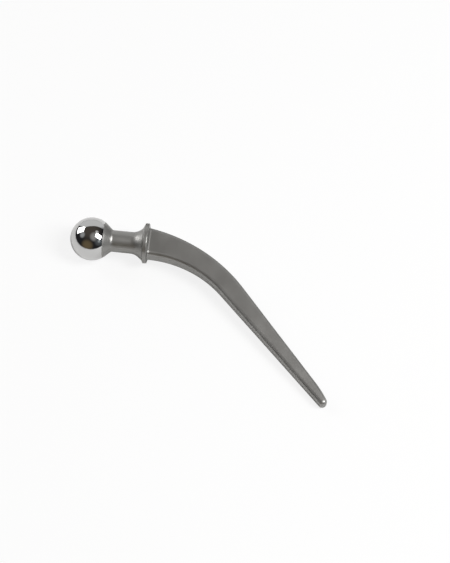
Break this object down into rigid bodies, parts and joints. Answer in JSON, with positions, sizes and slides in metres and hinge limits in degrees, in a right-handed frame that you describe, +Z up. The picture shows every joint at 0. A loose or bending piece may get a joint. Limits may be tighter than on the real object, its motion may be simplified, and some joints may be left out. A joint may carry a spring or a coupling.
{
  "type": "hip implant stem",
  "caption": "One-piece hip implant stem: polished ball head on a short cone and round neck, round collar, flat curved blade tapering to a rounded tip.",
  "frame": {"origin": "centre of the ball head", "axes": "+X along the straight part of the blade towards the tip, level; +Y towards the outer side of the bend; +Z up, with the stem lying on its flat side on the ball, the collar's rim and the tip"},
  "size_m": [0.1552, 0.0566, 0.0222],
  "materials": {
    "satin_steel": "fine satin, bead-blasted stainless steel, even grey",
    "polished_steel": "mirror polish, on the ball head only"
  },
  "bodies": {
    "root": {"hip_stem": "satin_steel"}
  },
  "joints": []
}
